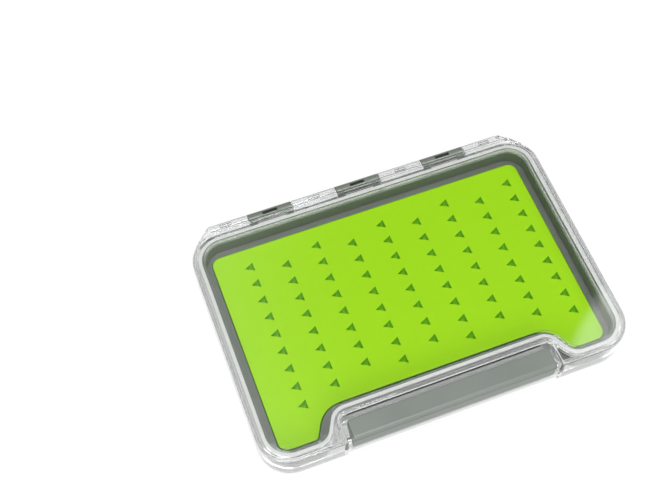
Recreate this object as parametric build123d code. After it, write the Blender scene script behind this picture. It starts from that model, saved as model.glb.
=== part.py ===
"""Slim fly box: a clear clamshell case with a grey liner frame, a slit silicone insert,
a seven-knuckle pinned hinge along the back and a long snap latch along the front.

Frame: X along the case, Y from the latch (-) to the hinge (+), Z up. The origin is at the
middle of the bounding box's bottom. All sizes are in millimetres.
"""
import os
from math import cos, radians, sin

from build123d import *

# ---------------------------------------------------------------- case
case_length = 140.2          # outside, along X
case_depth = 95.0            # outside, along Y, without the hinge barrel and the latch lip
case_height = 14.0
case_corner = 12.2           # plan radius of the four corners
shell_wall = 1.2             # clear walls of the base and of the lid's skirt
floor_thickness = 1.4
base_bottom_round = 1.6
split_height = 6.3           # top of the base's outer wall
split_gap = 0.2              # between the base's wall and the lid's skirt
rear_split_rise = 1.7        # how much higher the split runs under the hinge
rear_rise_half = 66.0        # half the length of that higher stretch
rear_rise_gap = 0.15         # at each end of that stretch
rear_split_gap = 0.3         # between the base's wall and the lid there

# ---------------------------------------------------------------- lid window and latch bay
rim_width = 4.6              # flat rim round the lid's window
window_corner = 7.6
bay_side_gap = 0.3           # between the bay's side and the base's ear
bay_back_gap = 1.85          # between the bay's back wall and the latch
bay_rim_width = 5.1          # rim between the bay and the window
bay_mouth_offset = 1.4       # from the bay's side to where the window's edge turns away
bay_flare = 5.6              # how much wider the window's notch is at the front
bay_inner_round = 7.4
bay_outer_round = 4.4
bay_corner = 2.0
base_front_inset = 1.2       # the base's front steps back under the latch
bay_lip_gap = 1.1            # from that low front wall up to the latch's front plate

# ---------------------------------------------------------------- lid
panel_thickness = 1.1
rim_proud = 0.5              # the rim stands above the window panel
rim_round = 1.2
inner_lip_start = 0.45       # from the window's edge outwards
inner_lip_width = 0.65
inner_lip_gap = 0.3          # above the liner frame
rib_width = 0.7
rib_gap = 0.6                # above the upstand
hood_reach = 0.9             # the rim's rear edge reaches this far over the hinge
hood_chamfer = 0.35
horn_step = 0.6              # the corner pads beside the latch lie below the rim
horn_reach = 12.0            # how far those pads run along X
pocket_wall = 0.7            # wall between the bay and the little pocket in each pad
pocket_front_wall = 1.7
pocket_length = 3.2          # along X

# ---------------------------------------------------------------- lid seal
seal_gap = 0.05              # to the lip and the rib beside it
seal_width = 1.2
seal_clearance = 0.1         # above the upstand when shut
seal_round = 0.4

# ---------------------------------------------------------------- liner frame
liner_wall = 1.1
liner_height = 10.7          # top of the liner's wall, and the height of the hinge axis
liner_foot_width = 2.3       # ledge inside the wall, round the insert
liner_foot_height = 5.2
liner_foot_skin = 1.0

# ---------------------------------------------------------------- base upstand
upstand_offset = 1.3         # from the window's edge outwards
upstand_thickness = 1.0
upstand_notch_gap = 0.2      # round the liner's hinge arms

# ---------------------------------------------------------------- silicone insert
insert_gap = 0.2             # to the liner's foot
insert_top = 5.9
insert_corner = 3.6
insert_round = 0.5
adhesive_thickness = 0.2
adhesive_margin = 1.0
slit_columns = 9
slit_rows = 8
slit_rows_end_columns = 9    # the end columns run past the latch bay
slit_pitch_x = 13.25
slit_pitch_y = 7.35
slit_first_row = 8.1         # from the insert's rear edge to the first row
slit_pattern_shift = 3.56    # the pattern sits off-centre along X
slit_length = 3.46           # triangle, along X
slit_width = 3.68            # triangle, along Y
slit_depth = 2.4
slit_taper = 17.0            # degrees that its walls lean

# ---------------------------------------------------------------- hinge
hinge_offset = 2.05          # axis behind the case's rear face
barrel_radius = 2.1
knuckle_count = 7            # clear ones on the lid at both ends, grey ones between
knuckle_pitch = 17.8
knuckle_gap = 0.3
barrel_sweep_gap = 0.35      # round the liner's knuckles
arm_thickness = 1.2          # the liner's arms, two to each of its knuckles
arm_width = 3.0
hinge_pin_radius = 0.8
pin_running_gap = 0.05
pin_end_wall = 1.3
fairing_angle = 43.0         # the barrel's ends slant into the case's corners, from X
window_length_liner = 5.9    # mould windows over the pin
window_width_liner = 1.3
window_length_lid = 4.6
window_width_lid = 0.8

# ---------------------------------------------------------------- latch
latch_length = 77.0
latch_proud = 0.15           # its lip in front of the case
latch_top_depth = 8.1        # top plate, along Y
latch_top_thickness = 1.8
latch_lip = 0.75             # finger lip over the front plate
latch_front_thickness = 1.5
latch_front_bottom = 5.6
latch_front_round = 1.5      # along the lip's upper edge
latch_edge_round = 0.5
latch_corner_round = 1.2
hook_drop = 0.8
hook_thickness = 1.2
catch_gap = 0.2              # between the latch and the lid's catch lip
catch_thickness = 1.0
catch_ridge_height = 0.8
catch_hook_gap = 0.4         # between the ridge's slope and the hook's, along Y
catch_front_gap = 0.5
catch_end_gap = 0.3          # between the catch lip and the latch's cheeks
cheek_thickness = 1.2        # the latch's two end walls
cheek_back_height = 11.4     # where a cheek's back edge starts to slope down to the barrel
latch_axis_behind_front = 2.75   # from the latch's foremost line to its pin
latch_axis_rise = 1.7        # from the front plate's lower edge up to the pin
latch_barrel_radius = 1.8
latch_pin_radius = 0.75
ear_thickness = 1.5
ear_gap = 0.3
ear_round = 2.1

# ---------------------------------------------------------------- derived places
total_depth = case_depth + latch_proud + hinge_offset + barrel_radius
front_y = -total_depth / 2 + latch_proud
rear_y = front_y + case_depth
centre_y = (front_y + rear_y) / 2
hinge_y = rear_y + hinge_offset
hinge_z = liner_height
roof_z = case_height - rim_proud - panel_thickness
panel_top = case_height - rim_proud
rear_split = split_height + rear_split_rise
lid_skirt_bottom = split_height + split_gap
lid_rear_bottom = rear_split + rear_split_gap
latch_front_y = front_y - latch_proud
latch_axis_y = latch_front_y + latch_axis_behind_front
latch_axis_height = latch_front_bottom + latch_axis_rise
latch_back_y = latch_front_y + latch_top_depth
bay_back = latch_back_y + bay_back_gap
bay_depth = bay_back - front_y
bay_half = latch_length / 2 + ear_gap + ear_thickness + bay_side_gap
bay_lip_height = latch_front_bottom - bay_lip_gap
latch_under = case_height - latch_top_thickness
insert_bottom = floor_thickness + adhesive_thickness
insert_inset = liner_foot_width + insert_gap
hinge_length = knuckle_count * knuckle_pitch
corner_x = case_length / 2 - case_corner
corner_y = rear_y - case_corner
everything = 2 * case_length      # longer than any cut needs to be


# ---------------------------------------------------------------- plan outlines
def case_outline():
    return Pos(0, centre_y) * RectangleRounded(case_length, case_depth, case_corner)


def bay_outline():
    """The latch bay: open at the front, rounded at its two back corners."""
    spare = 2 * case_corner
    middle = bay_back - (bay_depth + spare) / 2
    return Pos(0, middle) * RectangleRounded(2 * bay_half, bay_depth + spare, bay_corner)


def window_outline(out=0.0, corner=window_corner):
    """The lid window's edge, moved outwards by out, with the latch bay's notch in it."""
    half = case_length / 2 - rim_width
    front = front_y + rim_width
    rear = rear_y - rim_width
    notch = bay_back + bay_rim_width
    mouth = bay_half + bay_mouth_offset
    corners = [
        (-half, front), (-half, rear), (half, rear), (half, front),
        (mouth + bay_flare, front), (mouth, notch), (-mouth, notch), (-mouth - bay_flare, front),
    ]
    rounds = [corner] * 4 + [bay_outer_round, bay_inner_round, bay_inner_round, bay_outer_round]
    edge = make_face(FilletPolyline(*corners, radius=rounds, close=True))
    return offset(edge, amount=out) if out else edge


def band(inner, outer, corner=window_corner):
    """The strip that runs round the window between two distances from its edge."""
    return window_outline(outer, corner) - window_outline(inner, corner)


def slab(outline, low, high):
    return Pos(0, 0, low) * extrude(outline, amount=high - low)


def block(low, high):
    """A box between two opposite corners."""
    size = [b - a for a, b in zip(low, high)]
    middle = [(a + b) / 2 for a, b in zip(low, high)]
    return Pos(*middle) * Box(*size)


def bar_of(section, low, high):
    """A bar along X with a closed outline in Y and Z as its section."""
    face = make_face(Plane.YZ * section)
    return Pos(low) * extrude(face, amount=high - low, dir=(1, 0, 0))


def along_x(radius, low, high, y, z):
    """A cylinder along X."""
    return Pos((low + high) / 2, y, z) * Rot(0, 90, 0) * Cylinder(radius, high - low)


# ---------------------------------------------------------------- hinge
def knuckle_span(number):
    """The X range of one knuckle, with half the gap taken off each side."""
    low = -hinge_length / 2 + number * knuckle_pitch
    return low + knuckle_gap / 2, low + knuckle_pitch - knuckle_gap / 2


def lid_knuckles():
    return range(0, knuckle_count, 2)


def liner_knuckles():
    return range(1, knuckle_count, 2)


def liner_arms():
    """The X ranges of the arms that carry the liner's knuckles, one at each end of each."""
    for number in liner_knuckles():
        low, high = knuckle_span(number)
        yield low, low + arm_width
        yield high - arm_width, high


def liner_knuckle_gaps():
    """The X ranges that the lid leaves open for the liner's knuckles."""
    for number in liner_knuckles():
        low, high = knuckle_span(number)
        yield low - knuckle_gap, high + knuckle_gap


def pin_bore(low, high):
    return along_x(hinge_pin_radius + pin_running_gap, low, high, hinge_y, hinge_z)


def barrel_window(number, length, width):
    """The slot in the top of a knuckle, down to the pin's bore."""
    low, high = knuckle_span(number)
    middle = (low + high) / 2
    return block((middle - length / 2, hinge_y - width / 2, hinge_z),
                 (middle + length / 2, hinge_y + width / 2, hinge_z + 2 * barrel_radius))


def fairing_x(y):
    """Where the line that slants off the barrel's +X end lies: it touches the case's corner."""
    across, along = cos(radians(fairing_angle)), sin(radians(fairing_angle))
    return corner_x + (case_corner - (y - corner_y) * along) / across


def end_fairing():
    """What is cut off beyond the slanting end of the barrel, at +X."""
    near, far = rear_y - case_corner, hinge_y + 2 * barrel_radius
    wedge = Polyline((fairing_x(far), far), (fairing_x(near), near),
                     (everything, near), (everything, far), close=True)
    return slab(make_face(wedge), 0, 2 * case_height)


hinge_pin_half = fairing_x(hinge_y + hinge_pin_radius) - pin_end_wall


# ---------------------------------------------------------------- pieces
def make_base_shell():
    """A double-walled tray: an outer wall, and an upstand that holds the liner."""
    plan = case_outline() - bay_outline()
    shell = slab(case_outline(), 0, split_height)
    shell = fillet(shell.edges().group_by(Axis.Z)[0], base_bottom_round)
    shell -= slab(bay_outline(), floor_thickness, split_height)
    shell -= slab(offset(plan, amount=-shell_wall), floor_thickness, split_height)
    rear_wall = case_outline() - offset(case_outline(), amount=-shell_wall)
    rear_wall &= Pos(0, rear_y) * Rectangle(2 * (rear_rise_half - rear_rise_gap), 2 * case_corner)
    shell += slab(rear_wall, floor_thickness, rear_split)
    shell += slab(band(upstand_offset, upstand_offset + upstand_thickness), floor_thickness / 2,
                  liner_height)
    shell -= [block((low - upstand_notch_gap, corner_y,
                     liner_height - arm_thickness - upstand_notch_gap),
                    (high + upstand_notch_gap, rear_y, liner_height))
              for low, high in liner_arms()]
    return shell + base_bay_front() - base_bay_step()


def base_bay_front():
    """The low wall across the bay, and the two ears that carry the latch pin."""
    wall_y = front_y + base_front_inset
    parts = block((-bay_half, wall_y, 0), (bay_half, wall_y + shell_wall, bay_lip_height))
    inner = latch_length / 2 + ear_gap
    for side in (-1, 1):
        low, high = sorted((side * inner, side * (inner + ear_thickness)))
        ear = along_x(ear_round, low, high, latch_axis_y, latch_axis_height)
        ear += block((low, latch_axis_y - ear_round, floor_thickness / 2),
                     (high, latch_axis_y + ear_round, latch_axis_height))
        foot_low, foot_high = sorted((side * inner, side * (bay_half + shell_wall / 2)))
        ear += block((foot_low, latch_axis_y - ear_round, floor_thickness / 2),
                     (foot_high, latch_axis_y + ear_round, bay_lip_height))
        parts += ear
    return parts


def base_bay_step():
    """The step back in the base's front under the latch, and the latch pin's holes."""
    wall_y = front_y + base_front_inset
    step = block((-bay_half, front_y - case_corner, -floor_thickness),
                 (bay_half, wall_y, case_height))
    reach = latch_length / 2 + ear_gap + ear_thickness
    bore = along_x(latch_pin_radius + pin_running_gap, -reach, reach, latch_axis_y,
                   latch_axis_height)
    return step + bore


def make_liner_frame():
    frame = slab(band(0, liner_wall), floor_thickness, liner_height)
    foot_corner = insert_corner + insert_inset
    foot = slab(window_outline(liner_wall / 2) - window_outline(-liner_foot_width, foot_corner),
                floor_thickness, liner_foot_height)
    hollow = slab(window_outline(-liner_foot_skin / 2)
                  - window_outline(liner_foot_skin - liner_foot_width, foot_corner),
                  floor_thickness, liner_foot_height - liner_foot_skin)
    frame += foot - hollow
    arm_start = rear_y - rim_width + liner_wall / 2
    for number in liner_knuckles():
        low, high = knuckle_span(number)
        frame += along_x(barrel_radius, low, high, hinge_y, hinge_z)
    for low, high in liner_arms():
        frame += block((low, arm_start, liner_height - arm_thickness),
                       (high, hinge_y, liner_height))
    for number in liner_knuckles():
        frame -= barrel_window(number, window_length_liner, window_width_liner)
    return frame - pin_bore(-hinge_length, hinge_length)


def slit_outline():
    """One slit: a triangle that points along -X, with its centre of area at the origin."""
    return make_face(Polyline((-slit_length * 2 / 3, 0), (slit_length / 3, slit_width / 2),
                              (slit_length / 3, -slit_width / 2), close=True))


def slit_places():
    first_y = rear_y - rim_width - insert_inset - slit_first_row
    for column in range(slit_columns):
        x = slit_pattern_shift + (column - (slit_columns - 1) / 2) * slit_pitch_x
        at_end = column in (0, slit_columns - 1)
        stagger = (column % 2) / 2
        for row in range(slit_rows_end_columns if at_end else slit_rows):
            yield x, first_y - (row + stagger) * slit_pitch_y


def make_silicone_insert():
    outline = window_outline(-insert_inset, insert_corner + insert_inset)
    insert = slab(outline, insert_bottom, insert_top)
    insert = fillet(insert.faces().sort_by(Axis.Z)[-1].edges(), insert_round)
    slits = Sketch() + [Pos(x, y) * slit_outline() for x, y in slit_places()]
    return insert - Pos(0, 0, insert_top) * extrude(slits, amount=-slit_depth, taper=slit_taper)


def make_insert_adhesive():
    outline = window_outline(-insert_inset - adhesive_margin, insert_corner + insert_inset)
    return slab(outline, floor_thickness, insert_bottom)


def make_lid_shell():
    plan = case_outline() - bay_outline()
    lid = slab(plan, lid_skirt_bottom, case_height)
    lid = fillet(lid.faces().sort_by(Axis.Z)[-1].edges(), rim_round)
    lid -= block((-rear_rise_half, corner_y, 0), (rear_rise_half, hinge_y, lid_rear_bottom))
    lid += hinge_web()
    lid -= slab(offset(plan, amount=-shell_wall), 0, roof_z)
    lid -= slab(window_outline(), panel_top, case_height)
    lip_end = inner_lip_start + inner_lip_width
    lid += slab(band(inner_lip_start, lip_end), liner_height + inner_lip_gap, roof_z)
    rib_start = lip_end + 2 * seal_gap + seal_width
    lid += slab(band(rib_start, rib_start + rib_width), liner_height + rib_gap, roof_z)
    lid += catch_lip()
    lid -= horn_pads()
    return lid - hinge_clearance()


def horn_pads():
    """The lower pads in the corners between the rim's curve and the bay, with their pockets."""
    outside = Pos(0, centre_y) * Rectangle(2 * case_length, 2 * case_depth) \
        - window_outline(rim_width)
    reach = bay_half + horn_reach
    pads = outside & Pos(0, front_y) * Rectangle(2 * reach, 2 * bay_depth)
    cuts = slab(pads, case_height - horn_step, case_height)
    for side in (-1, 1):
        middle = side * (bay_half + pocket_wall + pocket_length / 2)
        pocket = outside & Pos(middle, front_y + pocket_front_wall + bay_depth / 2) * \
            Rectangle(pocket_length, bay_depth)
        cuts += slab(pocket, roof_z - panel_thickness, case_height)
    return cuts


def catch_lip():
    """The lip across the bay that the latch closes over, with its ridge and hook groove."""
    top = latch_under - catch_gap
    groove = top - catch_ridge_height
    crest = latch_back_y - hook_thickness - catch_ridge_height - catch_hook_gap
    front = latch_front_y + latch_lip + latch_front_thickness + catch_front_gap
    section = Polyline((bay_back + shell_wall / 2, groove - catch_thickness),
                       (bay_back + shell_wall / 2, groove),
                       (crest + catch_ridge_height, groove), (crest, top),
                       (front, top), (front, groove - catch_thickness), close=True)
    half = latch_length / 2 - cheek_thickness - catch_end_gap
    return bar_of(section, -half, half)


def hinge_web():
    """The lid's knuckles and the webs that join them to its rear wall."""
    web_start = corner_y + case_corner * sin(radians(fairing_angle))
    web = along_x(barrel_radius, -everything, everything, hinge_y, hinge_z)
    web += block((-everything, web_start, hinge_z - barrel_radius),
                 (everything, hinge_y, hinge_z + barrel_radius))
    web -= [block((low, corner_y, 0), (high, hinge_y + 2 * barrel_radius, 2 * case_height))
            for low, high in liner_knuckle_gaps()]
    edge = rear_y + hood_reach
    hood = Polyline((web_start, roof_z), (edge, roof_z), (edge, panel_top - hood_chamfer),
                    (edge - hood_chamfer, panel_top), (web_start, panel_top), close=True)
    web += bar_of(hood, -everything, everything)
    return web - end_fairing() - mirror(end_fairing(), Plane.YZ)


def hinge_clearance():
    """What is cut from the lid: room for the liner's knuckles, the pin's bore and windows."""
    cuts = []
    for low, high in liner_knuckle_gaps():
        cuts.append(along_x(barrel_radius + barrel_sweep_gap, low, high, hinge_y, hinge_z))
        cuts.append(block((low, rear_y - shell_wall, 0), (high, hinge_y, roof_z)))
    for number in lid_knuckles():
        cuts.append(barrel_window(number, window_length_lid, window_width_lid))
    cuts.append(pin_bore(-hinge_pin_half - pin_running_gap, everything))
    return Part() + cuts


def make_lid_seal():
    start = inner_lip_start + inner_lip_width + seal_gap
    seal = slab(band(start, start + seal_width), liner_height + seal_clearance, roof_z)
    return fillet(seal.faces().sort_by(Axis.Z)[0].edges(), seal_round)


def make_hinge_pin():
    return along_x(hinge_pin_radius, -hinge_pin_half, hinge_pin_half, hinge_y, hinge_z)


def latch_section():
    """The latch's profile in Y and Z: top plate, hook at its back, lip and front plate."""
    front = latch_front_y + latch_lip
    inside = front + latch_front_thickness
    hook_front = latch_back_y - hook_thickness
    tip = latch_under - hook_drop
    return Polyline((latch_front_y, case_height), (latch_back_y, case_height),
                    (latch_back_y, tip), (hook_front, tip),
                    (hook_front - hook_drop, latch_under), (inside, latch_under),
                    (inside, latch_front_bottom), (front, latch_front_bottom),
                    (front, latch_under), (latch_front_y, latch_under), close=True)


def cheek_section():
    """An end wall of the latch, from the top plate down to the barrel."""
    front = latch_front_y + latch_lip
    return Polyline((front, case_height - latch_edge_round),
                    (latch_back_y, case_height - latch_edge_round),
                    (latch_back_y, cheek_back_height),
                    (latch_axis_y + latch_barrel_radius, latch_axis_height),
                    (front, latch_axis_height), close=True)


def make_latch_bar():
    half = latch_length / 2
    bar = bar_of(latch_section(), -half, half)
    bar += bar_of(cheek_section(), -half, cheek_thickness - half)
    bar += bar_of(cheek_section(), half - cheek_thickness, half)
    upright = bar.edges().filter_by(Axis.Z).sort_by(Axis.Y)
    bar = fillet([edge for edge in upright if edge.center().Y > latch_back_y - latch_edge_round],
                 latch_corner_round)
    bar = fillet(bar.faces().sort_by(Axis.Z)[-1].edges().sort_by(Axis.Y)[0], latch_front_round)
    bar = fillet(bar.faces().sort_by(Axis.Z)[-1].edges().sort_by(Axis.Y)[1:], latch_edge_round)
    bar += along_x(latch_barrel_radius, -half, half, latch_axis_y, latch_axis_height)
    return bar - along_x(latch_pin_radius + pin_running_gap, -half, half, latch_axis_y,
                         latch_axis_height)


def make_latch_pin():
    reach = latch_length / 2 + ear_gap + ear_thickness
    return along_x(latch_pin_radius, -reach, reach, latch_axis_y, latch_axis_height)


pieces = {
    "base_shell": make_base_shell,
    "liner_frame": make_liner_frame,
    "insert_adhesive": make_insert_adhesive,
    "silicone_insert": make_silicone_insert,
    "hinge_pin": make_hinge_pin,
    "lid_shell": make_lid_shell,
    "lid_seal": make_lid_seal,
    "latch_bar": make_latch_bar,
    "latch_pin": make_latch_pin,
}

os.makedirs("parts", exist_ok=True)
for name, make in pieces.items():
    export_step(make(), f"parts/{name}.step")
    print(name)
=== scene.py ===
# %% [markdown]
# # A slim fly box in clear plastic
# A fly box keeps hooked fishing flies on a soft slitted mat, under a clear lid that shuts on a
# seal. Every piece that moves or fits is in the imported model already. This script gives those
# pieces their looks, makes the soft mat anew, and adds a floor, lamps and a camera.

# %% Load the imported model
import math

import bmesh
import bpy
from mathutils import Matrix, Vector


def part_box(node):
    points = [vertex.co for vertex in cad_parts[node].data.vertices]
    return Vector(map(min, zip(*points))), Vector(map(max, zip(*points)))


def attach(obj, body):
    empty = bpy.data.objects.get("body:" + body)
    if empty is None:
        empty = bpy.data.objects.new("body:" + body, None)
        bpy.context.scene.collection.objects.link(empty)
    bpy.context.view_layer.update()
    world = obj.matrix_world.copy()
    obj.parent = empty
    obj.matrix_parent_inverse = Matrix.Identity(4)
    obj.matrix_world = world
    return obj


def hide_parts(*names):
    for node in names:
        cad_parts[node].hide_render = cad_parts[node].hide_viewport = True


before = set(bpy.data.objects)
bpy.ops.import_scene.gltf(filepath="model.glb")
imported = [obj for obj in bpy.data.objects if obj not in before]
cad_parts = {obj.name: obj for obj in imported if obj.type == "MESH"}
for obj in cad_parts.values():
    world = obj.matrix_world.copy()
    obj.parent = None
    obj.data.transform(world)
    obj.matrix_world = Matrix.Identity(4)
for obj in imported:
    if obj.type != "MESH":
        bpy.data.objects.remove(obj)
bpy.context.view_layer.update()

MM = 0.001

# %% [markdown]
# ## Camera
# A short telephoto lens looks down on the box from the front left. An eye and the point that it
# looks at are enough to place a camera: the track quaternion turns its -Z axis towards the point
# and keeps the picture upright.

# %% Camera
PICTURE_WIDTH = 670           # pixels, the frame that the focal length below is measured in
FOCAL_PIXELS = 1128.5
EYE = Vector((-90.2, -167.8, 381.8)) * MM
LOOKS_AT = Vector((-17.3, 25.7, 5.9)) * MM

lens = bpy.data.cameras.new("camera")
lens.sensor_width = 36.0
lens.lens = FOCAL_PIXELS / PICTURE_WIDTH * lens.sensor_width
camera = bpy.data.objects.new("camera", lens)
camera.location = EYE
camera.rotation_mode = "QUATERNION"
camera.rotation_quaternion = (LOOKS_AT - EYE).to_track_quat("-Z", "Y")
bpy.context.scene.collection.objects.link(camera)
bpy.context.scene.camera = camera
print("lens, mm:", round(lens.lens, 2))

# %% [markdown]
# ## Helpers for materials
# Colours are written in sRGB hex, as on a paint chart, and a renderer multiplies linear values,
# so one function turns the first into the second. Another adds one node with its settings and
# links: a key is a property of the node or the name or number of an input. The last starts a
# material with no nodes in it.

# %% Material helpers
def linear(hex_colour):
    """An sRGB hex colour as linear red, green and blue with an alpha of 1."""
    channels = [int(hex_colour[i:i + 2], 16) / 255 for i in (1, 3, 5)]
    curve = [c / 12.92 if c <= 0.04045 else ((c + 0.055) / 1.055) ** 2.4 for c in channels]
    return (*curve, 1.0)


def add(tree, kind, settings=None, links=None):
    """Adds a node: settings are its properties and its inputs' values, links its inputs."""
    node = tree.nodes.new("ShaderNode" + kind)
    for key, value in (settings or {}).items():
        if isinstance(key, str) and hasattr(node, key):
            setattr(node, key, value)
        else:
            node.inputs[key].default_value = value
    for key, source in (links or {}).items():
        tree.links.new(source, node.inputs[key])
    return node


def new_material(name):
    """A new material and its empty node tree."""
    material = bpy.data.materials.new(name)
    material.use_nodes = True
    material.node_tree.nodes.clear()
    return material, material.node_tree


print("mid grey #808080 is linear", round(linear("#808080")[0], 3))

# %% [markdown]
# ## Clear polycarbonate
# The base, the lid and the knuckles on it are injection-moulded polycarbonate, polished where the
# tool was polished. It bends light more than glass does (IOR 1.58), so every wall, lip and step
# shows as a bright or grey line. A real moulding is never quite flat: the melt leaves long soft
# waves, and a weak bump some 9 mm long makes the reflections swim a little.
#
# Light that is on its way to or from a matt surface would have to find its way through bending
# plastic by luck, as noisy caustics. So for shadow rays and diffuse rays the surface is plain
# transparent, and its colour takes about what a real surface mirrors away: a twentieth for the
# lid, and more for the base, whose double walls are a touch grey.

# %% Clear polycarbonate
FLOW_WAVE_LENGTH = 9.0 * MM
FLOW_WAVE_HEIGHT = 0.003 * MM
POLISH = 0.02                 # roughness of a polished tool's surface


def make_clear_plastic(name, ior, wave_height, body, lets_through):
    """Clear plastic: hard, colourless, with the soft waves that moulding leaves."""
    material, tree = new_material(name)
    place = add(tree, "TexCoord")
    waves = add(tree, "TexNoise", {"Scale": 1 / FLOW_WAVE_LENGTH, "Detail": 1.0},
                {"Vector": place.outputs["Object"]})
    bump = add(tree, "Bump", {"Strength": 1.0, "Distance": wave_height},
               {"Height": waves.outputs["Fac"]})
    plastic = add(tree, "BsdfPrincipled", {
        "Base Color": linear(body), "Roughness": POLISH, "IOR": ior,
        "Transmission Weight": 1.0}, {"Normal": bump.outputs["Normal"]})
    straight = add(tree, "BsdfTransparent", {"Color": linear(lets_through)})
    path = add(tree, "LightPath")
    seen = add(tree, "MixShader", links={
        0: path.outputs["Is Diffuse Ray"], 1: plastic.outputs[0], 2: straight.outputs[0]})
    either = add(tree, "MixShader", links={
        0: path.outputs["Is Shadow Ray"], 1: seen.outputs[0], 2: straight.outputs[0]})
    add(tree, "OutputMaterial", links={"Surface": either.outputs[0]})
    return material


clear_lid = make_clear_plastic("clear_polycarbonate_lid", 1.58, FLOW_WAVE_HEIGHT,
                               "#FBFCFC", "#F9F9F9")
clear_base = make_clear_plastic("clear_polycarbonate_base", 1.58, FLOW_WAVE_HEIGHT,
                                "#E6E8E6", "#E8E8E8")
clear_rod = make_clear_plastic("clear_acrylic_rod", 1.49, 0.0, "#FDFDFD", "#F9F9F9")
print("clear plastics:", clear_lid.name, clear_base.name, clear_rod.name)

# %% [markdown]
# ## Grey ABS
# The liner frame and the latch are moulded in grey ABS against a spark-eroded tool, which leaves
# a fine satin grain: it breaks the shine up without looking rough. Two noises do it, one for the
# grain's bump and one, much larger, for the slight unevenness of colour and of shine.

# %% Grey ABS
GRAIN_SIZE = 0.35 * MM        # coarser than the real 0.05 mm, so that it shows at all
GRAIN_HEIGHT = 0.006 * MM
CLOUD_SIZE = 14.0 * MM
SHINE_SPREAD = 0.04           # how far the roughness strays either way


def make_grey_abs(name, colour, paler, shine):
    """Satin grey plastic: broad soft highlights over a fine even grain."""
    material, tree = new_material(name)
    place = add(tree, "TexCoord")
    grain = add(tree, "TexNoise", {"Scale": 1 / GRAIN_SIZE, "Detail": 2.0},
                {"Vector": place.outputs["Object"]})
    clouds = add(tree, "TexNoise", {"Scale": 1 / CLOUD_SIZE, "Detail": 1.0},
                 {"Vector": place.outputs["Object"]})
    bump = add(tree, "Bump", {"Strength": 1.0, "Distance": GRAIN_HEIGHT},
               {"Height": grain.outputs["Fac"]})
    tint = add(tree, "Mix", {"data_type": "RGBA", 6: linear(colour), 7: linear(paler)},
               {0: clouds.outputs["Fac"]})
    gloss = add(tree, "MapRange", {
        "To Min": shine - SHINE_SPREAD, "To Max": shine + SHINE_SPREAD},
        {"Value": clouds.outputs["Fac"]})
    skin = add(tree, "BsdfPrincipled", {"IOR": 1.54}, {
        "Base Color": tint.outputs[2], "Roughness": gloss.outputs["Result"],
        "Normal": bump.outputs["Normal"]})
    add(tree, "OutputMaterial", links={"Surface": skin.outputs[0]})
    return material


# The liner is the same grey ABS as the latch, written darker: painted shade for its walls, which
# stand in shade under the lid's rim.
liner_abs_shade_darkened = make_grey_abs("grey_abs_liner_shade_darkened", "#686F66", "#6F766D", 0.42)
latch_abs = make_grey_abs("grey_abs_latch", "#757C75", "#7D847D", 0.30)
print("grey ABS: grain", GRAIN_SIZE / MM, "mm, clouds", CLOUD_SIZE / MM, "mm")

# %% [markdown]
# ## Green silicone
# The mat is moulded silicone rubber, matt and slightly waxy: light goes a little way into it and
# comes out coloured. Subsurface scattering gives that, with a radius a little longer for green
# than for red and much shorter for blue.
#
# Inside the slits the colour is painted shade: darker just under the rim, where shade falls into
# the slit, and a little lighter and greener again at the bottom, as painted light that has
# bounced between the green walls. The depth below the mat's top picks the tone.

# %% Green silicone
SKIN_SIZE = 0.6 * MM          # fine unevenness of the moulded skin
SKIN_HEIGHT = 0.006 * MM
SLIT_DEPTH = 2.4 * MM
SCATTER_DEPTH = 0.5 * MM      # how far light goes into the rubber
# painted shade in the slits, darkest just under the rim, with painted bounce light at the bottom;
# the first stop is the mat's own green
SLIT_SHADE_TONES = {0.02: "#A9E804", 0.10: "#489800", 0.45: "#5CA800", 1.0: "#80C40A"}


def make_green_silicone(top, depth):
    """Translucent rubber with a soft matt skin, and painted shade in what lies below its top."""
    material, tree = new_material("green_silicone")
    place = add(tree, "TexCoord")
    skin = add(tree, "TexNoise", {"Scale": 1 / SKIN_SIZE, "Detail": 2.0},
               {"Vector": place.outputs["Object"]})
    bump = add(tree, "Bump", {"Strength": 1.0, "Distance": SKIN_HEIGHT},
               {"Height": skin.outputs["Fac"]})
    height = add(tree, "SeparateXYZ", links={0: place.outputs["Object"]})
    below = add(tree, "MapRange", {"From Min": top, "From Max": top - depth},
                {"Value": height.outputs["Z"]})
    tones = add(tree, "ValToRGB", links={0: below.outputs["Result"]})
    steps = tones.color_ramp.elements
    steps.remove(steps[1])
    for step, (where, colour) in enumerate(SLIT_SHADE_TONES.items()):
        stop = steps[0] if step == 0 else steps.new(where)
        stop.position, stop.color = where, linear(colour)
    rubber = add(tree, "BsdfPrincipled", {
        "Roughness": 0.62, "IOR": 1.41, "Specular IOR Level": 0.3,
        "Subsurface Weight": 0.12, "Subsurface Scale": SCATTER_DEPTH,
        "Subsurface Radius": (0.7, 1.0, 0.15)},
        {"Base Color": tones.outputs["Color"], "Normal": bump.outputs["Normal"]})
    add(tree, "OutputMaterial", links={"Surface": rubber.outputs[0]})
    return material


mat_low, mat_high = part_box("silicone_insert")
green_silicone = make_green_silicone(mat_high.z, SLIT_DEPTH)
print("mat's top at", round(mat_high.z / MM, 2), "mm, tones at", list(SLIT_SHADE_TONES))

# %% [markdown]
# ## The seal, the adhesive and the steel pin
# The seal is milky silicone: white light scatters inside it. The film that holds the mat is an
# acrylic adhesive, seen only through the box's floor, with the faint clouds that trapped air
# leaves. The latch's pin is drawn stainless wire: its fine scratches run along it, so the noise
# that roughens it is stretched along X.

# %% Seal, adhesive and steel
AIR_SIZE = 5.0 * MM           # patches of trapped air
SCRATCH_LENGTH = 25.0 * MM
SCRATCH_WIDTH = 0.25 * MM     # coarser than the real scratches, so that they show at all


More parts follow.
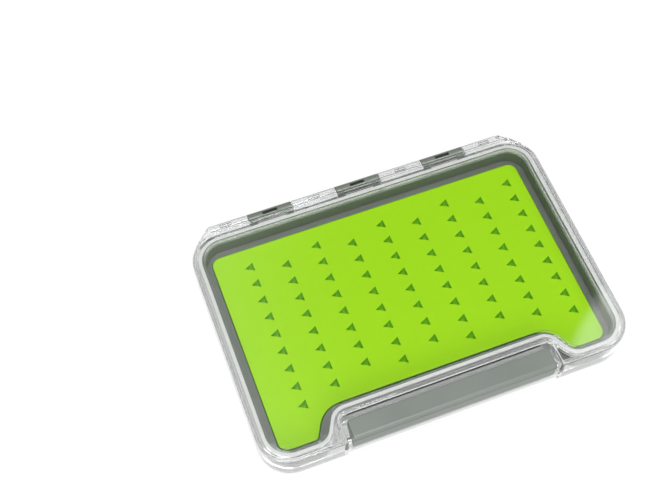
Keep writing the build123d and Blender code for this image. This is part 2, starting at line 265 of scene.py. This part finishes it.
def make_milky_silicone():
    """Milky rubber: bright, soft, faintly translucent."""
    material, tree = new_material("milky_silicone")
    rubber = add(tree, "BsdfPrincipled", {
        "Base Color": linear("#E6E7E5"), "Roughness": 0.4, "IOR": 1.41,
        "Subsurface Weight": 0.5, "Subsurface Scale": 1.0 * MM,
        "Subsurface Radius": (1.0, 1.0, 1.0)})
    add(tree, "OutputMaterial", links={"Surface": rubber.outputs[0]})
    return material


def make_adhesive_film():
    """Pale adhesive: nearly clear where it wets the surface, whiter where air is trapped."""
    material, tree = new_material("adhesive_film")
    place = add(tree, "TexCoord")
    air = add(tree, "TexNoise", {"Scale": 1 / AIR_SIZE, "Detail": 3.0},
              {"Vector": place.outputs["Object"]})
    tint = add(tree, "Mix", {"data_type": "RGBA", 6: linear("#B4D878"), 7: linear("#D2E6B0")},
               {0: air.outputs["Fac"]})
    film = add(tree, "BsdfPrincipled", {"Roughness": 0.3}, {"Base Color": tint.outputs[2]})
    add(tree, "OutputMaterial", links={"Surface": film.outputs[0]})
    return material


def make_drawn_steel():
    """Drawn wire: bright metal with long fine scratches."""
    material, tree = new_material("drawn_stainless_steel")
    place = add(tree, "TexCoord")
    along = add(tree, "Mapping", {
        "Scale": (1 / SCRATCH_LENGTH, 1 / SCRATCH_WIDTH, 1 / SCRATCH_WIDTH)},
        {"Vector": place.outputs["Object"]})
    scratches = add(tree, "TexNoise", {"Scale": 1.0, "Detail": 2.0},
                    {"Vector": along.outputs["Vector"]})
    gloss = add(tree, "MapRange", {"To Min": 0.18, "To Max": 0.34},
                {"Value": scratches.outputs["Fac"]})
    steel = add(tree, "BsdfPrincipled", {"Base Color": linear("#C4C3C0"), "Metallic": 1.0},
                {"Roughness": gloss.outputs["Result"]})
    add(tree, "OutputMaterial", links={"Surface": steel.outputs[0]})
    return material


milky_silicone = make_milky_silicone()
adhesive_film = make_adhesive_film()
drawn_steel = make_drawn_steel()
print("made:", milky_silicone.name, adhesive_film.name, drawn_steel.name)

# %% [markdown]
# ## Dress the moulded pieces
# The rigid pieces keep the meshes that the model gives them. Only their material slots change.

# %% Dress the moulded pieces
finishes = {
    "base_shell": clear_base, "lid_shell": clear_lid,
    "liner_frame": liner_abs_shade_darkened, "latch_bar": latch_abs, "insert_adhesive": adhesive_film,
    "lid_seal": milky_silicone, "hinge_pin": clear_rod, "latch_pin": drawn_steel,
}
for node, material in finishes.items():
    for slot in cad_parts[node].material_slots:
        slot.material = material
    print(node, "->", material.name)

# %% [markdown]
# ## The mat
# The mat is one sheet of rubber with rows of three-sided slits. The model's solid has its true
# outline and slits, but with knife-sharp rims that rubber never has. So the mat is a copy of that
# solid whose loose triangles are merged first, and whose slit rims are then bevelled: the small
# round lip is what catches the light round each slit. Weighted normals keep the big faces flat
# beside those narrow rounds.

# %% The mat
SLIT_LIP = 0.15 * MM
SAME_POINT = 0.002 * MM       # corners closer than this are one
SAME_HEIGHT = 0.01 * MM
FLAT_ANGLE = math.radians(0.5)
SHARP_ANGLE = math.radians(35)

bm = bmesh.new()
bm.from_mesh(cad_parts["silicone_insert"].data)
bmesh.ops.remove_doubles(bm, verts=bm.verts, dist=SAME_POINT)
bmesh.ops.dissolve_limit(bm, angle_limit=FLAT_ANGLE, verts=bm.verts, edges=bm.edges,
                         use_dissolve_boundaries=False, delimit=set())


def is_slit_rim(edge):
    """Whether an edge lies in the mat's top and one of its two faces drops into a slit."""
    if len(edge.link_faces) != 2:
        return False
    on_top = all(abs(vert.co.z - mat_high.z) < SAME_HEIGHT for vert in edge.verts)
    slopes = sorted(face.normal.z for face in edge.link_faces)
    return on_top and slopes[1] > 0.99 and slopes[0] < 0.8


rims = [edge for edge in bm.edges if is_slit_rim(edge)]
bmesh.ops.bevel(bm, geom=rims, offset=SLIT_LIP, offset_type="OFFSET", segments=3, profile=0.5,
                affect="EDGES", material=-1, clamp_overlap=True)
mesh = bpy.data.meshes.new("slitted_mat")
bm.to_mesh(mesh)
print("slit rims:", len(rims), "faces:", len(mesh.polygons))
bm.free()
mesh.polygons.foreach_set("use_smooth", [True] * len(mesh.polygons))
mesh.set_sharp_from_angle(angle=SHARP_ANGLE)
mesh.materials.append(green_silicone)
mat = bpy.data.objects.new("slitted_mat", mesh)
bpy.context.scene.collection.objects.link(mat)
flatten = mat.modifiers.new("flat_faces", "WEIGHTED_NORMAL")
flatten.keep_sharp = True
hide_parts("silicone_insert")
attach(mat, "base")

# %% [markdown]
# ## White paper under the box
# The box lies on a sheet of white paper. To the camera and to mirror rays it is mostly its own
# white, so it stays white at any light, and the small rest is plain paper that takes the box's
# shadow. Seen through clear plastic it is mostly plain paper, which keeps the rims silvery. To
# all other light it is only paper.

# %% White paper
PAPER_HALF = 0.45             # metres from the middle to each edge
PAPER_SHARE = 0.08            # how much of the seen paper takes shade
PAPER_SHARE_BENT = 0.65       # the same for paper that is seen through clear plastic
PAPER_WHITE = 1.03            # a touch over white, to make up for the shaded share


def make_white_paper():
    """Paper that stays white to the camera and takes the box's shadow from all other light."""
    material, tree = new_material("white_paper")
    path = add(tree, "LightPath")
    bent = add(tree, "Math", {"operation": "MAXIMUM"}, {
        0: path.outputs["Is Glossy Ray"], 1: path.outputs["Is Transmission Ray"]})
    seen = add(tree, "Math", {"operation": "MAXIMUM"}, {
        0: path.outputs["Is Camera Ray"], 1: bent.outputs[0]})
    share = add(tree, "MapRange", {"To Min": PAPER_SHARE, "To Max": PAPER_SHARE_BENT},
                {"Value": path.outputs["Is Transmission Ray"]})
    paper = add(tree, "BsdfDiffuse", {"Color": linear("#EDEDED")})
    white = add(tree, "Emission", {"Strength": PAPER_WHITE})
    shown = add(tree, "MixShader", links={
        0: share.outputs["Result"], 1: white.outputs[0], 2: paper.outputs[0]})
    either = add(tree, "MixShader", links={
        0: seen.outputs[0], 1: paper.outputs[0], 2: shown.outputs[0]})
    add(tree, "OutputMaterial", links={"Surface": either.outputs[0]})
    return material


bm = bmesh.new()
bmesh.ops.create_grid(bm, x_segments=1, y_segments=1, size=PAPER_HALF)
mesh = bpy.data.meshes.new("paper")
bm.to_mesh(mesh)
bm.free()
mesh.materials.append(make_white_paper())
paper = bpy.data.objects.new("paper", mesh)
bpy.context.scene.collection.objects.link(paper)
print("paper, mm:", round(2 * PAPER_HALF / MM))

# %% [markdown]
# ## The room
# Clear plastic shows the room more than itself. In a white tent its edges mirror and bend white
# with thin grey lines. One dark card, a flag, hangs where the flat lid mirrors it, so that no
# veil lies on the mat. Here the tent is the world as mirror rays and bent rays see it, with the
# flag as a soft dark patch round one direction, and it is dimmer towards the floor, where a tent
# ends. The light that the room throws on matt surfaces is a plain dim fill: the softboxes do the
# lighting.

# %% The room
FLAG_TOWARDS = Vector((0.345, 0.375, 0.861)).normalized()
FLAG_EDGE = (0.92, 0.99)      # cosines from the flag's middle: tent outside, flag inside
FLAG_DARK = 0.05
TENT_WHITE = 0.95
ROOM_LOW = 0.7                # how much is left of the tent's white near the floor
LOW_EDGE = (-0.05, 0.5)       # sines of the heights between which it falls to that
ROOM_FILL = 0.12
WHITE = (1, 1, 1, 1)

room = bpy.data.worlds.new("room")
room.use_nodes = True
bpy.context.scene.world = room
tree = room.node_tree
tree.nodes.clear()
direction = add(tree, "TexCoord")
nearness = add(tree, "VectorMath", {"operation": "DOT_PRODUCT", 1: FLAG_TOWARDS},
               {0: direction.outputs["Generated"]})
tent = add(tree, "MapRange", {
    "interpolation_type": "SMOOTHSTEP", "From Min": FLAG_EDGE[0], "From Max": FLAG_EDGE[1],
    "To Min": TENT_WHITE, "To Max": FLAG_DARK}, {"Value": nearness.outputs["Value"]})
upright = add(tree, "SeparateXYZ", links={0: direction.outputs["Generated"]})
dimmed = add(tree, "MapRange", {
    "interpolation_type": "SMOOTHSTEP", "From Min": LOW_EDGE[0], "From Max": LOW_EDGE[1],
    "To Min": ROOM_LOW, "To Max": 1.0}, {"Value": upright.outputs["Z"]})
walls = add(tree, "Math", {"operation": "MULTIPLY"}, {
    0: tent.outputs["Result"], 1: dimmed.outputs["Result"]})
mirrored = add(tree, "Background", {"Color": WHITE}, {"Strength": walls.outputs[0]})
fill = add(tree, "Background", {"Color": WHITE, "Strength": ROOM_FILL})
white = add(tree, "Background", {"Color": WHITE, "Strength": 1.0})
path = add(tree, "LightPath")
bent = add(tree, "Math", {"operation": "MAXIMUM"}, {
    0: path.outputs["Is Glossy Ray"], 1: path.outputs["Is Transmission Ray"]})
lit = add(tree, "MixShader", links={
    0: bent.outputs[0], 1: fill.outputs[0], 2: mirrored.outputs[0]})
either = add(tree, "MixShader", links={
    0: path.outputs["Is Camera Ray"], 1: lit.outputs[0], 2: white.outputs[0]})
add(tree, "OutputWorld", links={"Surface": either.outputs[0]})
print("room: tent", TENT_WHITE, "flag", FLAG_DARK, "fill", ROOM_FILL)

# %% [markdown]
# ## Softboxes
# The key softbox hangs overhead, towards the camera from the part of the ceiling that the lid
# mirrors. A second one hangs to the right, turned so that its faded corner just shows in the
# lid's front right corner. A third stands in front, low and weak, and draws the highlight along
# the latch's rounded lip. A real softbox is brightest in the middle: the lamps' own nodes fade
# their edges, from the place on the lamp that each ray leaves.

# %% Softboxes
FADE_WIDTH = 0.025            # metres over which a softbox's edge fades


def hang_softbox(name, centre, size, tilt, turn, watts):
    """A softbox that faces down, tipped up by tilt and turned about the upright, in degrees."""
    light = bpy.data.lights.new(name, "AREA")
    light.shape = "RECTANGLE"
    light.size, light.size_y = size
    light.energy = watts
    light.use_nodes = True
    tree = light.node_tree
    tree.nodes.clear()
    place = add(tree, "SeparateXYZ", links={0: add(tree, "NewGeometry").outputs["Parametric"]})
    fades = []
    for axis, length in zip("XY", size):
        off = add(tree, "Math", {"operation": "SUBTRACT", 1: 0.5}, {0: place.outputs[axis]})
        far = add(tree, "Math", {"operation": "ABSOLUTE"}, {0: off.outputs[0]})
        fades.append(add(tree, "MapRange", {
            "interpolation_type": "SMOOTHSTEP", "From Min": 0.5,
            "From Max": 0.5 - FADE_WIDTH / length, "To Min": 0.0, "To Max": 1.0},
            {"Value": far.outputs[0]}))
    both = add(tree, "Math", {"operation": "MULTIPLY"}, {
        0: fades[0].outputs["Result"], 1: fades[1].outputs["Result"]})
    glow = add(tree, "Emission", links={"Strength": both.outputs[0]})
    add(tree, "OutputLight", links={"Surface": glow.outputs[0]})
    lamp = bpy.data.objects.new(name, light)
    lamp.location = centre
    lamp.rotation_euler = (math.radians(tilt), 0, math.radians(turn))
    lamp.visible_camera = False
    bpy.context.scene.collection.objects.link(lamp)
    print(name, "at", centre, "m,", watts, "W")


hang_softbox("softbox_key", (-0.20, -0.10, 1.10), (0.8, 0.6), 0, 0, 9.6)
hang_softbox("softbox_right", (0.80, 0.04, 1.10), (1.0, 0.9), 0, 38, 5.4)
hang_softbox("softbox_front", (-0.10, -0.78, 0.45), (1.0, 0.4), 60, 0, 3.2)

# %% [markdown]
# ## Colours and bounces
# The Standard view shows a colour as it is written. A ray that enters a clear rim crosses many
# faces before it is out again, and the total reflections inside count as glossy bounces: with
# the usual four, rays die in the rims and leave black lines.

# %% Colours and bounces
PLASTIC_BOUNCES = 32
INSIDE_BOUNCES = 10

bpy.context.scene.view_settings.view_transform = "Standard"
cycles = bpy.context.scene.cycles
cycles.max_bounces = PLASTIC_BOUNCES
cycles.transmission_bounces = PLASTIC_BOUNCES
cycles.glossy_bounces = INSIDE_BOUNCES
print("bounces:", cycles.max_bounces, cycles.transmission_bounces, cycles.glossy_bounces)
